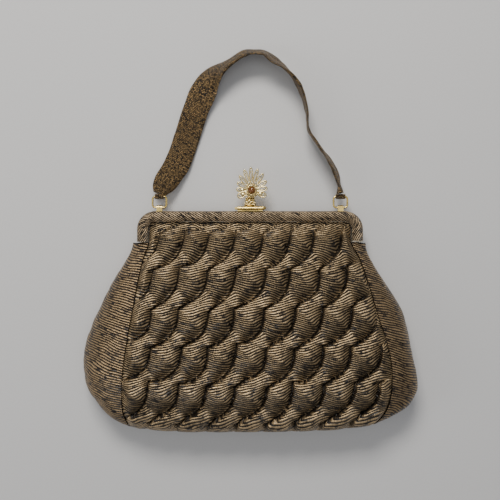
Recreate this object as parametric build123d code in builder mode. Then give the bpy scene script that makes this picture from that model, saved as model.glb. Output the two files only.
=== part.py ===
"""Evening clutch purse: a soft bag on a two-part hinged metal frame, with a
jewelled flip clasp and a strap handle.

The purse lies on its back.  X runs across it, Y from the hinge line up to the
clasp, Z from the back panel to the front.  The origin is on the back panel,
under the middle of the hinge line.  All sizes are in millimetres.
"""
from math import cos, radians, sin
import os

from build123d import *

os.makedirs("parts", exist_ok=True)

# ---------------------------------------------------------------- bag body
frame_half_width = 81.5    # frame, over its cloth cover
body_flare = 1.485         # widest half width of the body over that of the frame
body_length = 131.0        # hinge line down to the bottom edge
body_depth = 35.0          # back panel to the fullest part of the front
cloth = 3.0                # outer cloth with its gathers
padding = 1.0              # interlining
satin = 0.6                # lining
side_seam_z = 10.0         # height of the seam between front and back panels
body_corner = 9.0          # rounding of the body's cross-section
mouth_step = 0.2           # an inner layer stands this share of its inset above the mouth

# body stations from the mouth down: share of the length, half width and depth
body_stations = [
    (0.03, 0.727, 0.69),
    (0.22, 0.845, 0.89),
    (0.47, 0.970, 1.00),
    (0.70, 1.000, 1.00),
    (0.88, 0.905, 0.80),
    (1.00, 0.640, 0.45),
]

# side seams of the panels: share of the length, share of the half width
seam_stations = [(0.02, 0.640), (0.66, 0.785), (1.05, 0.700)]

# ------------------------------------------------------------------- frame
frame_top = 28.0           # hinge line to the top of the cover
frame_corner = 13.0        # outer corner radius over the cover
frame_split_z = 13.0       # plane where the two halves meet
split_gap = 0.15           # each half stays this far off that plane
channel_width = 7.0        # depth of the channel in the frame's plane
channel_height = 4.5       # height of the channel along Z
channel_wall = 0.8
cover = 0.6                # thickness of the cloth cover
leg_foot_y = 6.0           # the channel's legs end here, above the hinge
cord_radius = 1.3          # cord that pinches the cloth in the channel

# ------------------------------------------------------------------- hinge
tab_radius = 2.6
tab_thickness = 1.0
tab_gap = 0.2              # side play between the tabs
tab_inset = 1.3            # outer tab, in from the channel's outer face
tab_reach = 2.4            # height of the tab's neck along Z
rivet_radius = 1.0
rivet_play = 0.05
rivet_head_radius = 1.8
rivet_head = 0.6

# ------------------------------------------------------------------- clasp
lever_length = 22.0
lever_thickness = 1.6
lever_gap = 0.3            # lever above its base plate
lever_reach = 11.2         # pin to the far side of the lip
lip_width = 0.9
lip_drop = 0.7
clasp_pin_radius = 0.7
clasp_pin_play = 0.05
knuckle_radius = 1.3
knuckle_length = 3.0
base_length = 18.0
base_thickness = 1.0
catch_length = 14.0
catch_thickness = 0.45
catch_width = 4.0
clasp_rivet_radius = 0.8
spring_thickness = 0.2
spring_width = 5.0

# ---------------------------------------------------------------- ornament
stem_width = 9.0
stem_height = 7.5
stem_thickness = 3.0
flower_x = 1.2
flower_rise = 12.1         # stone's centre above the lever's top
disc_radius = 5.2
petal_thickness = 1.2
stone_radius = 2.75
stone_height = 3.0
claw_wire = 0.55
brilliant_radius = 1.0
brilliant_height = 1.2
# petals: direction in degrees, distance of the tip, half width
petals = [
    (-20, 11.0, 2.3),
    (8, 11.2, 1.9),
    (32, 12.6, 1.7),
    (55, 14.4, 1.5),
    (74, 15.8, 1.4),
    (92, 16.4, 1.4),
    (110, 15.6, 1.4),
    (130, 13.6, 1.5),
    (152, 11.6, 1.7),
    (176, 10.8, 1.9),
    (204, 11.0, 2.4),
]

# ------------------------------------------------------------------ handle
lug_x = 66.0
lug_rise = 3.0             # eye's axis above the frame's cover
lug_length = 4.0
lug_radius = 1.6
ring_wire = 0.7            # radius of the ring's wire
ring_play = 0.05
ring_half_width = 5.0
ring_height = 8.0
ring_corner = 2.0
strap_width = 19.0
strap_end_width = 8.0
strap_thickness = 2.4
loop_cloth = 1.5           # cloth folded round the ring
core_width_share = 0.84
core_thickness = 0.6
# strap stations from the left ring to the right one:
# x, y and z of the middle, turn of the width out of the bag's plane (degrees)
strap_route = [
    (-62.0, 50.0, 5.0, 0),
    (-54.0, 63.0, 2.4, 0),
    (-46.5, 84.0, 2.0, 0),
    (-39.0, 105.0, 2.6, 4),
    (-31.0, 122.0, 5.4, 20),
    (-19.0, 135.0, 8.0, 45),
    (-3.0, 143.5, 10.2, 64),
    (13.0, 142.0, 10.6, 74),
    (27.0, 131.0, 10.8, 82),
    (37.0, 117.0, 10.8, 90),
    (41.5, 102.0, 10.8, 90),
    (43.5, 87.0, 10.8, 90),
    (51.0, 76.0, 10.8, 90),
    (58.5, 65.0, 10.8, 90),
    (63.0, 54.0, 10.6, 90),
]

# ------------------------------------------------------------------ pocket
pocket_width = 92.0
pocket_length = 62.0
pocket_mouth_y = -34.0
pocket_seam = 2.0

# ------------------------------------------------------------ derived sizes
body_half_width = body_flare * frame_half_width
channel_half_width = frame_half_width - cover
channel_top = frame_top - cover
channel_corner = frame_corner - cover
front_low = frame_split_z + split_gap
front_high = front_low + channel_height
back_high = frame_split_z - split_gap
back_low = back_high - channel_height
slot_half_width = channel_half_width - channel_width
slot_y = channel_top - channel_width
front_slot_z = (front_low + front_high) / 2
back_slot_z = (back_low + back_high) / 2
outer_tab_x = channel_half_width - tab_inset
inner_tab_x = outer_tab_x - tab_thickness - tab_gap
lining_inset = cloth + padding
hollow_inset = lining_inset + satin
bag_base_y = -body_length
clasp_pin_y = frame_top + base_thickness + knuckle_radius - 0.3
clasp_pin_z = front_high + cover + 0.35
lever_low_y = frame_top + base_thickness + lever_gap
lever_high_y = lever_low_y + lever_thickness
lug_y = frame_top + lug_rise
lug_z = back_slot_z
stem_z = frame_split_z - stem_thickness / 2
flower_y = lever_high_y + flower_rise


# ------------------------------------------------------------------- frame
def arch(half_width, top, corner, foot):
    """Face of an arch that stands on `foot` and has two rounded top corners."""
    with BuildSketch() as face:
        with BuildLine():
            Polyline((-half_width, top - corner), (-half_width, foot), (half_width, foot))
            Line((half_width, foot), (half_width, top - corner))
            RadiusArc((half_width, top - corner), (half_width - corner, top), -corner)
            Line((half_width - corner, top), (-half_width + corner, top))
            RadiusArc((-half_width + corner, top), (-half_width, top - corner), -corner)
        make_face()
    return face.sketch


def arch_band(outset, inset, foot):
    """Band between two offsets of the channel's outer line (outset is outward)."""
    outer = arch(
        channel_half_width + outset, channel_top + outset, channel_corner + outset, foot
    )
    inner = arch(
        channel_half_width - inset, channel_top - inset, max(channel_corner - inset, 1.0), foot - 1
    )
    return outer - inner


web_band = arch_band(0, channel_wall, leg_foot_y)
flange_band = arch_band(0, channel_width, leg_foot_y)
cover_web_band = arch_band(cover, 0, leg_foot_y)
cover_top_band = arch_band(cover, channel_width, leg_foot_y)
cord_band = arch_band(-channel_wall, channel_wall + 2 * cord_radius, leg_foot_y + 3)


def tab_profile(neck_low, neck_high):
    """Side view of a hinge tab: a round eye with a neck that runs up to the leg."""
    with BuildSketch() as tab:
        with Locations((0, frame_split_z)):
            Circle(tab_radius)
        with Locations(((leg_foot_y + 2) / 2, (neck_low + neck_high) / 2)):
            Rectangle(leg_foot_y + 2, neck_high - neck_low)
    return tab.sketch


front_tab_profile = tab_profile(front_low, front_low + tab_reach)
back_tab_profile = tab_profile(back_high - tab_reach, back_high)


def side_plane(x):
    """Plane across the bag at x, drawn with Y to the right and Z up."""
    return Plane(origin=(x, 0, 0), x_dir=(0, 1, 0), z_dir=(1, 0, 0))


def both_sides(x_low, thickness):
    """The two x positions where a plate of this thickness starts, right then left."""
    return [x_low, -x_low - thickness]


with BuildPart() as frame_back:
    with BuildSketch(Plane.XY.offset(back_low)):
        add(web_band)
    extrude(amount=channel_height)
    with BuildSketch(Plane.XY.offset(back_low), Plane.XY.offset(back_high - channel_wall)):
        add(flange_band)
    extrude(amount=channel_wall)
    for tab_x in both_sides(inner_tab_x - tab_thickness, tab_thickness):
        with BuildSketch(side_plane(tab_x)):
            add(back_tab_profile)
        extrude(amount=tab_thickness)
    with BuildSketch(side_plane(-channel_half_width)):
        with Locations((0, frame_split_z)):
            Circle(rivet_radius)
    extrude(amount=2 * channel_half_width, mode=Mode.SUBTRACT)
frame_back.part.label = "frame_back"
export_step(frame_back.part, "parts/frame_back.step")

with BuildPart() as frame_front:
    with BuildSketch(Plane.XY.offset(front_low)):
        add(web_band)
    extrude(amount=channel_height)
    with BuildSketch(Plane.XY.offset(front_low), Plane.XY.offset(front_high - channel_wall)):
        add(flange_band)
    extrude(amount=channel_wall)
    for tab_x in both_sides(outer_tab_x - tab_thickness, tab_thickness):
        with BuildSketch(side_plane(tab_x)):
            add(front_tab_profile)
        extrude(amount=tab_thickness)
    with BuildSketch(side_plane(-channel_half_width)):
        with Locations((0, frame_split_z)):
            Circle(rivet_radius + rivet_play)
    extrude(amount=2 * channel_half_width, mode=Mode.SUBTRACT)
frame_front.part.label = "frame_front"
export_step(frame_front.part, "parts/frame_front.step")

with BuildPart() as frame_front_cover:
    with BuildSketch(Plane.XY.offset(front_low)):
        add(cover_web_band)
    extrude(amount=channel_height)
    with BuildSketch(Plane.XY.offset(front_high)):
        add(cover_top_band)
    extrude(amount=cover)
frame_front_cover.part.label = "frame_front_cover"
export_step(frame_front_cover.part, "parts/frame_front_cover.step")

with BuildPart() as frame_back_cover:
    with BuildSketch(Plane.XY.offset(back_low)):
        add(cover_web_band)
    extrude(amount=channel_height)
    with BuildSketch(Plane.XY.offset(back_low - cover)):
        add(cover_top_band)
    extrude(amount=cover)
frame_back_cover.part.label = "frame_back_cover"
export_step(frame_back_cover.part, "parts/frame_back_cover.step")

with BuildPart() as frame_front_cord:
    with BuildSketch(Plane.XY.offset(front_slot_z - cord_radius)):
        add(cord_band)
    extrude(amount=2 * cord_radius)
frame_front_cord.part.label = "frame_front_cord"
export_step(frame_front_cord.part, "parts/frame_front_cord.step")

with BuildPart() as frame_back_cord:
    with BuildSketch(Plane.XY.offset(back_slot_z - cord_radius)):
        add(cord_band)
    extrude(amount=2 * cord_radius)
frame_back_cord.part.label = "frame_back_cord"
export_step(frame_back_cord.part, "parts/frame_back_cord.step")

rivet_outer_x = outer_tab_x + tab_gap
rivet_inner_x = inner_tab_x - tab_thickness

with BuildPart() as hinge_rivets:
    for shank_x in both_sides(rivet_inner_x, rivet_outer_x - rivet_inner_x):
        with BuildSketch(side_plane(shank_x)):
            with Locations((0, frame_split_z)):
                Circle(rivet_radius)
        extrude(amount=rivet_outer_x - rivet_inner_x)
    for head_x in both_sides(rivet_outer_x, rivet_head) + both_sides(
        rivet_inner_x - rivet_head, rivet_head
    ):
        with BuildSketch(side_plane(head_x)):
            with Locations((0, frame_split_z)):
                Circle(rivet_head_radius)
        extrude(amount=rivet_head)
hinge_rivets.part.label = "hinge_rivets"
export_step(hinge_rivets.part, "parts/hinge_rivets.step")


# ---------------------------------------------------------------- bag body
def body_form(inset):
    """Solid form of the body, drawn in by `inset` all round and at the bottom."""
    with BuildPart() as form:
        for share_y, share_x, share_z in body_stations:
            station_y = max(-share_y * body_length + mouth_step * inset, bag_base_y + inset)
            depth = share_z * body_depth - 2 * inset
            half_width = share_x * body_half_width - inset
            corner = min(max(body_corner - inset, 2.0), 0.45 * depth)
            with BuildSketch(
                Plane(origin=(0, station_y, inset + depth / 2), x_dir=(1, 0, 0), z_dir=(0, -1, 0))
            ):
                RectangleRounded(2 * half_width, depth, corner)
        loft()
    return form.part


def seam_prism():
    """Block between the two side seams, taller than the bag."""
    right = [(x * body_half_width, -y * body_length) for y, x in seam_stations]
    left = [(-x, y) for x, y in reversed(right)]
    with BuildPart() as block:
        with BuildSketch(Plane.XY.offset(-body_depth)):
            with BuildLine():
                Polyline(*right, *left, close=True)
            make_face()
        extrude(amount=3 * body_depth)
    return block.part


def slope_plate(stations, thickness):
    """Plate under the frame; each station is y, half width, edge z and crown z.

    Its edges lie flat as far in as the channel's mouth, then slope to the crown.
    The small `bend` keeps every corner of a flat station, so all stations match.
    """
    bend = 0.05
    lip = slot_half_width - 0.5
    with BuildPart() as plate:
        for y, half_width, edge_z, crown_z in stations:
            right = [(shoulder_half, crown_z), (lip, edge_z - bend), (half_width, edge_z)]
            left = [(-x, z) for x, z in reversed(right)]
            top_line = left + right
            under_line = [(x, z - thickness) for x, z in reversed(top_line)]
            with BuildSketch(Plane(origin=(0, y, 0), x_dir=(1, 0, 0), z_dir=(0, -1, 0))):
                with BuildLine():
                    Polyline(*top_line, *under_line, close=True)
                make_face()
        loft(ruled=True)
    return plate.part


def arch_block(half_width, top, corner):
    """Tall block under an arch, used to trim cloth to the frame's inner line."""
    with BuildPart() as block:
        with BuildSketch(Plane.XY.offset(-body_depth)):
            add(arch(half_width, top, corner, -body_length))
        extrude(amount=3 * body_depth)
    return block.part


cloth_form = body_form(0)
padding_form = body_form(cloth)
lining_form = body_form(lining_inset)
hollow_form = body_form(hollow_inset)
between_seams = seam_prism()
side_seam_plane = Plane.XY.offset(side_seam_z)

panel_cloth = 1.0                                  # cloth where it runs into the frame
layer_gap = 0.3
edge_hold = 2.4                                    # cloth held inside the channel
panel_edge_y = slot_y + edge_hold
panel_edge_half = slot_half_width + edge_hold
mouth_y = -body_stations[0][0] * body_length
mouth_depth = body_stations[0][2] * body_depth
mouth_panel_half = seam_stations[0][1] * body_half_width
shoulder_half = 0.74 * frame_half_width
fold_y = leg_foot_y + 2.5                          # lower edge of the moving panel top
fold_crown_z = front_slot_z + 4.1
fold_end_y = mouth_y + mouth_step * lining_inset + layer_gap
back_crown_z = 0.42 * back_slot_z
fold_half_width = slot_half_width - 0.4
leg_clear_y = leg_foot_y - 0.5
slot_entry_y = slot_y - layer_gap
panel_trim = arch_block(panel_edge_half, panel_edge_y, channel_corner - channel_width + edge_hold)
lining_trim = arch_block(
    fold_half_width, slot_y - 0.4, max(channel_corner - channel_width - 0.4, 1.0)
)
front_edge_z = front_slot_z + panel_cloth / 2
back_edge_z = back_slot_z + panel_cloth / 2
front_lining_z = front_edge_z - panel_cloth - 2 * layer_gap
back_lining_z = back_edge_z + 2 * layer_gap + satin

back_top_plate = slope_plate(
    [
        (panel_edge_y, panel_edge_half, back_edge_z, back_edge_z - 0.2),
        (slot_entry_y, panel_edge_half, back_edge_z, back_edge_z - 0.4),
        (fold_y, panel_edge_half, back_edge_z, back_crown_z),
        (leg_clear_y, fold_half_width, back_edge_z - 2.0, 0.22 * back_slot_z),
        (0.5, fold_half_width, 2 * panel_cloth, panel_cloth),
        (mouth_y - 1.5, fold_half_width, 1.2 * panel_cloth, panel_cloth),
    ],
    panel_cloth,
)

with BuildPart() as back_panel:
    add(cloth_form)
    add(padding_form, mode=Mode.SUBTRACT)
    add(between_seams, mode=Mode.INTERSECT)
    split(bisect_by=side_seam_plane, keep=Keep.BOTTOM)
    add(back_top_plate & panel_trim)
back_panel.part.label = "back_panel"
export_step(back_panel.part, "parts/back_panel.step")

with BuildPart() as front_panel:
    add(cloth_form)
    add(padding_form, mode=Mode.SUBTRACT)
    add(between_seams, mode=Mode.INTERSECT)
    split(bisect_by=side_seam_plane, keep=Keep.TOP)
front_panel.part.label = "front_panel"
export_step(front_panel.part, "parts/front_panel.step")

for side, keep in (("left", Keep.BOTTOM), ("right", Keep.TOP)):
    with BuildPart() as gusset:
        add(cloth_form)
        add(padding_form, mode=Mode.SUBTRACT)
        add(between_seams, mode=Mode.SUBTRACT)
        split(bisect_by=Plane.YZ, keep=keep)
    gusset.part.label = f"gusset_{side}"
    export_step(gusset.part, f"parts/gusset_{side}.step")

front_top_plate = slope_plate(
    [
        (panel_edge_y, panel_edge_half, front_edge_z, front_edge_z + 0.2),
        (slot_entry_y, panel_edge_half, front_edge_z, front_edge_z + 0.4),
        (fold_y, panel_edge_half, front_edge_z, fold_crown_z),
    ],
    panel_cloth,
)

with BuildPart() as front_panel_top:
    add(front_top_plate)
    add(panel_trim, mode=Mode.INTERSECT)
front_panel_top.part.label = "front_panel_top"
export_step(front_panel_top.part, "parts/front_panel_top.step")

front_fold_plate = slope_plate(
    [
        (fold_y - layer_gap, fold_half_width, front_edge_z, fold_crown_z),
        (leg_clear_y, fold_half_width, front_edge_z + 1, fold_crown_z + 1),
        (fold_end_y, mouth_panel_half - 1.5, mouth_depth - 4.0, mouth_depth),
    ],
    panel_cloth,
)

with BuildPart() as front_panel_fold:
    add(front_fold_plate)
front_panel_fold.part.label = "front_panel_fold"
export_step(front_panel_fold.part, "parts/front_panel_fold.step")

padding_start = 0.34 * body_length                 # interlining ends below the fold
with BuildPart() as below_fold:
    with BuildSketch(Plane(origin=(0, -padding_start, 0), x_dir=(1, 0, 0), z_dir=(0, -1, 0))):
        Rectangle(4 * body_half_width, 8 * body_depth)
    extrude(amount=2 * body_length)

with BuildPart() as interlining_front:
    add(padding_form)
    add(lining_form, mode=Mode.SUBTRACT)
    split(bisect_by=side_seam_plane, keep=Keep.TOP)
    add(between_seams, mode=Mode.INTERSECT)
    add(below_fold.part, mode=Mode.INTERSECT)
interlining_front.part.label = "interlining_front"
export_step(interlining_front.part, "parts/interlining_front.step")

with BuildPart() as interlining_back:
    add(padding_form)
    add(lining_form, mode=Mode.SUBTRACT)
    add(between_seams, mode=Mode.INTERSECT)
    split(bisect_by=side_seam_plane, keep=Keep.BOTTOM)
interlining_back.part.label = "interlining_back"
export_step(interlining_back.part, "parts/interlining_back.step")

front_lining_plate = slope_plate(
    [
        (slot_y, fold_half_width, front_lining_z, front_lining_z + 0.2),
        (fold_y, fold_half_width, front_lining_z, fold_crown_z - 2 * panel_cloth),
        (leg_clear_y, fold_half_width, front_lining_z, fold_crown_z - 2 * panel_cloth),
        (
            mouth_y - 1.0,
            fold_half_width,
            mouth_depth - lining_inset - 3.0,
            mouth_depth - lining_inset,
        ),
    ],
    satin,
)

with BuildPart() as lining_front:
    add(lining_form)
    add(hollow_form, mode=Mode.SUBTRACT)
    split(bisect_by=side_seam_plane, keep=Keep.TOP)
    add(front_lining_plate & lining_trim)
lining_front.part.label = "lining_front"
export_step(lining_front.part, "parts/lining_front.step")

back_lining_plate = slope_plate(
    [
        (slot_y, fold_half_width, back_lining_z, back_lining_z - 0.2),
        (fold_y, fold_half_width, back_lining_z, back_crown_z + 2 * satin + layer_gap),
        (leg_clear_y, fold_half_width, back_lining_z, hollow_inset + 0.5),
        (mouth_y - 1.5, fold_half_width, hollow_inset + 0.2, hollow_inset),
    ],
    satin,
)

with BuildPart() as lining_back:
    add(lining_form)
    add(hollow_form, mode=Mode.SUBTRACT)
    split(bisect_by=side_seam_plane, keep=Keep.BOTTOM)
    add(back_lining_plate & lining_trim)
lining_back.part.label = "lining_back"
export_step(lining_back.part, "parts/lining_back.step")

pocket_middle_y = pocket_mouth_y - pocket_length / 2
with BuildPart() as inner_pocket:
    with BuildSketch(Plane.XY.offset(hollow_inset)):
        with Locations((0, pocket_middle_y)):
            Rectangle(pocket_width, pocket_length)
    extrude(amount=3 * satin)
    with BuildSketch(Plane.XY.offset(hollow_inset)):
        with Locations((0, pocket_middle_y + pocket_seam)):
            Rectangle(pocket_width - 2 * pocket_seam, pocket_length)
    extrude(amount=2 * satin, mode=Mode.SUBTRACT)
inner_pocket.part.label = "inner_pocket"
export_step(inner_pocket.part, "parts/inner_pocket.step")


# ------------------------------------------------------------------- clasp
def side_disc(x, length, radius):
    """Sketch plane and circle of a round bar along X on the clasp's pin axis."""
    with BuildPart() as bar:
        with BuildSketch(side_plane(x)):
            with Locations((clasp_pin_y, clasp_pin_z)):
                Circle(radius)
        extrude(amount=length)
    return bar.part


def edge_plate(x_half, y_low, y_high, z_low, z_high):
    """Plate on the frame's outer edge, centred across the bag."""
    with BuildPart() as plate:
        with BuildSketch(Plane.XY.offset(z_low)):
            with Locations((0, (y_low + y_high) / 2)):
                Rectangle(2 * x_half, y_high - y_low)
        extrude(amount=z_high - z_low)
    return plate.part


clasp_pin_length = base_length
knuckle_low_x = base_length / 2 - knuckle_length
lever_knuckle_half = knuckle_low_x - lever_gap
base_low_z = front_low + 0.3
pin_full = side_disc(-clasp_pin_length / 2, clasp_pin_length, clasp_pin_radius)
pin_clearance = side_disc(
    -clasp_pin_length / 2, clasp_pin_length, clasp_pin_radius + clasp_pin_play
)
rivet_spots = [(-base_length / 2 + 2.2, 0), (base_length / 2 - 2.2, 0)]
rivet_plane = Plane(
    origin=(0, frame_top + base_thickness, (front_low + front_high) / 2),
    x_dir=(1, 0, 0),
    z_dir=(0, -1, 0),
)

with BuildPart() as clasp_base:
    add(
        edge_plate(
            base_length / 2, frame_top, frame_top + base_thickness, base_low_z, clasp_pin_z
        )
    )
    for knuckle_x in both_sides(knuckle_low_x, knuckle_length):
        add(side_disc(knuckle_x, knuckle_length, knuckle_radius))
    with BuildSketch(side_plane(-lever_knuckle_half - lever_gap)):
        with Locations((clasp_pin_y, clasp_pin_z)):
            Circle(knuckle_radius + lever_gap)
    extrude(amount=2 * (lever_knuckle_half + lever_gap), mode=Mode.SUBTRACT)
    add(pin_full, mode=Mode.SUBTRACT)
    with BuildSketch(rivet_plane):
        with Locations(*rivet_spots):
            Circle(clasp_rivet_radius)
    extrude(amount=base_thickness, mode=Mode.SUBTRACT)
clasp_base.part.label = "clasp_base"
export_step(clasp_base.part, "parts/clasp_base.step")

with BuildPart() as clasp_rivets:
    with BuildSketch(rivet_plane):
        with Locations(*rivet_spots):
            Circle(clasp_rivet_radius)
    extrude(amount=base_thickness)
clasp_rivets.part.label = "clasp_rivets"
export_step(clasp_rivets.part, "parts/clasp_rivets.step")

with BuildPart() as clasp_pin:
    add(pin_full)
clasp_pin.part.label = "clasp_pin"
export_step(clasp_pin.part, "parts/clasp_pin.step")

with BuildPart() as clasp_spring:
    add(
        edge_plate(
            spring_width / 2,
            frame_top + base_thickness,
            frame_top + base_thickness + spring_thickness,
            base_low_z,
            clasp_pin_z - knuckle_radius - 2 * lever_gap,
        )
    )
clasp_spring.part.label = "clasp_spring"
export_step(clasp_spring.part, "parts/clasp_spring.step")

lever_far_z = clasp_pin_z - lever_reach
lever_near_z = clasp_pin_z - knuckle_radius - lever_gap
with BuildPart() as clasp_lever:
    add(edge_plate(lever_length / 2, lever_low_y, lever_high_y, lever_far_z, lever_near_z))
    fillet(clasp_lever.edges().filter_by(Axis.Z), 0.6)
    add(
        edge_plate(
            lever_knuckle_half, lever_high_y - 1.0, lever_high_y, lever_near_z - 1, clasp_pin_z
        )
    )
    add(side_disc(-lever_knuckle_half, 2 * lever_knuckle_half, knuckle_radius))
    add(
        edge_plate(
            catch_length / 2, lever_low_y - lip_drop, lever_high_y, lever_far_z,
            lever_far_z + lip_width,
        )
    )
    add(pin_clearance, mode=Mode.SUBTRACT)
clasp_lever.part.label = "clasp_lever"
export_step(clasp_lever.part, "parts/clasp_lever.step")

catch_low_z = lever_far_z + lip_width + lever_gap
with BuildPart() as clasp_catch:
    add(
        edge_plate(
            catch_length / 2 - 0.5,
            frame_top,
            frame_top + catch_thickness,
            catch_low_z,
            min(catch_low_z + catch_width, back_high),
        )
    )
clasp_catch.part.label = "clasp_catch"
export_step(clasp_catch.part, "parts/clasp_catch.step")

# ---------------------------------------------------------------- ornament
stem_middle_y = lever_high_y + stem_height / 2
stem_hole_radius = 0.9
stem_hole_x = 1.7
stem_hole_drop = 1.2
with BuildPart() as ornament_stem:
    with BuildSketch(Plane.XY.offset(stem_z)):
        with Locations((0, stem_middle_y)):
            Trapezoid(stem_width, stem_height, 80)
        hole_y = stem_middle_y - stem_hole_drop
        with Locations((-stem_hole_x, hole_y), (stem_hole_x, hole_y)):
            Circle(stem_hole_radius, mode=Mode.SUBTRACT)
    extrude(amount=stem_thickness)
ornament_stem.part.label = "ornament_stem"
export_step(ornament_stem.part, "parts/ornament_stem.step")

petal_z = stem_z + stem_thickness
flower = Plane(origin=(flower_x, flower_y, petal_z))
with BuildPart() as ornament_petals:
    with BuildSketch(flower):
        Circle(disc_radius)
        for direction, reach, petal_half_width in petals:
            root = disc_radius - 2.0
            middle = (root + reach) / 2
            with Locations(
                Location(
                    (middle * cos(radians(direction)), middle * sin(radians(direction)), 0),
                    (0, 0, direction),
                )
            ):
                Ellipse((reach - root) / 2, petal_half_width)
    extrude(amount=petal_thickness)
ornament_petals.part.label = "ornament_petals"
export_step(ornament_petals.part, "parts/ornament_petals.step")

claw_plane = flower.offset(petal_thickness)
with BuildPart() as stone_claws:
    with BuildSketch(claw_plane):
        Circle(stone_radius + 2 * claw_wire)
        Circle(stone_radius, mode=Mode.SUBTRACT)
    extrude(amount=1.2)
    with BuildSketch(claw_plane):
        with PolarLocations(stone_radius + claw_wire, 6):
            Circle(claw_wire)
    extrude(amount=stone_height * 0.7)
stone_claws.part.label = "stone_claws"
export_step(stone_claws.part, "parts/stone_claws.step")

with BuildPart() as amber_stone:
    with BuildSketch(claw_plane):
        Circle(stone_radius)
    extrude(amount=stone_height)
    fillet(amber_stone.edges().filter_by(GeomType.CIRCLE).group_by(Axis.Z)[-1], 1.6)
amber_stone.part.label = "amber_stone"
export_step(amber_stone.part, "parts/amber_stone.step")

with BuildPart() as rhinestones:
    for direction, reach, petal_half_width in petals:
        distance = reach - brilliant_radius - 0.9
        with BuildSketch(claw_plane):
            with Locations(
                (distance * cos(radians(direction)), distance * sin(radians(direction)))
            ):
                RegularPolygon(brilliant_radius, 8)
        extrude(amount=brilliant_height, taper=28)
rhinestones.part.label = "rhinestones"
export_step(rhinestones.part, "parts/rhinestones.step")

# ------------------------------------------------------------------ handle
ring_bore = ring_wire + ring_play
with BuildPart() as handle_lugs:
    for lug_low_x in both_sides(lug_x - lug_length / 2, lug_length):
        with BuildSketch(side_plane(lug_low_x)):
            with Locations((lug_y, lug_z)):
                Circle(lug_radius)
            with Locations(((frame_top + lug_y) / 2, lug_z)):
                Rectangle(lug_rise, 2 * lug_radius)
            with Locations((lug_y, lug_z)):
                Circle(ring_bore, mode=Mode.SUBTRACT)
        extrude(amount=lug_length)
handle_lugs.part.label = "handle_lugs"
export_step(handle_lugs.part, "parts/handle_lugs.step")

for side, ring_x in (("left", -lug_x), ("right", lug_x)):
    with BuildPart() as ring:
        with BuildLine(Plane.XY.offset(lug_z)) as ring_line:
            Polyline(
                (ring_x, lug_y),
                (ring_x + ring_half_width, lug_y),
                (ring_x + ring_half_width, lug_y + ring_height),
                (ring_x - ring_half_width, lug_y + ring_height),
                (ring_x - ring_half_width, lug_y),
                (ring_x, lug_y),
            )
            fillet(ring_line.vertices(), ring_corner)
        with BuildSketch(Plane(origin=(ring_x, lug_y, lug_z), x_dir=(0, 1, 0), z_dir=(1, 0, 0))):
            Circle(ring_wire)
        sweep()
    ring.part.label = f"ring_{side}"
    export_step(ring.part, f"parts/ring_{side}.step")


def strap_solid(width_share, thickness):
    """Ruled strap along the route, gathered to the rings' width at both ends."""
    end_y = lug_y + ring_height + ring_wire + layer_gap
    left_end = (-lug_x, end_y, lug_z, 0)
    right_end = (lug_x, end_y, lug_z, 90)
    route = [left_end] + strap_route + [right_end]
    points = [Vector(x, y, z) for x, y, z, turn in route]
    with BuildPart() as strap:
        for index, (x, y, z, turn) in enumerate(route):
            before = points[max(index - 1, 0)]
            after = points[min(index + 1, len(points) - 1)]
            tangent = (after - before).normalized()
            sideways = tangent.cross(Vector(0, 0, 1)).normalized()
            raised = sideways.cross(tangent).normalized()
            across = sideways * cos(radians(turn)) + raised * sin(radians(turn))
            at_end = index in (0, len(route) - 1)
            width = strap_end_width if at_end else strap_width
            with BuildSketch(Plane(origin=points[index], x_dir=across, z_dir=tangent)):
                Rectangle(width * width_share, thickness)
        loft(ruled=True)
    return strap.part


def ring_bars(radius, half_length):
    """Two round bars along X, one on each ring's top bar."""
    with BuildPart() as bars:
        for bar_low_x in both_sides(lug_x - half_length, 2 * half_length):
            with BuildSketch(side_plane(bar_low_x)):
                with Locations((lug_y + ring_height, lug_z)):
                    Circle(radius)
            extrude(amount=2 * half_length)
    return bars.part


end_loops = ring_bars(ring_wire + loop_cloth, ring_half_width - ring_corner - layer_gap)
loop_holes = ring_bars(ring_wire, ring_half_width)
loop_room = ring_bars(ring_wire + loop_cloth, ring_half_width + loop_cloth)

with BuildPart() as handle_core:
    add(strap_solid(core_width_share, core_thickness))
    add(loop_room, mode=Mode.SUBTRACT)
handle_core.part.label = "handle_core"
export_step(handle_core.part, "parts/handle_core.step")

with BuildPart() as handle_strap:
    add(strap_solid(1.0, strap_thickness))
    add(end_loops)
    add(loop_holes, mode=Mode.SUBTRACT)
    add(handle_core.part, mode=Mode.SUBTRACT)
handle_strap.part.label = "handle_strap"
export_step(handle_strap.part, "parts/handle_strap.step")
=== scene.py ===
"""Evening clutch purse: ruched lame cloth, covered frame, jewelled clasp and strap.

The CAD frame gives every place.  Lengths here are in millimetres until a mesh is
made, because the cloth's pitches and folds are easiest to read that way.
"""

import math

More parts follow.
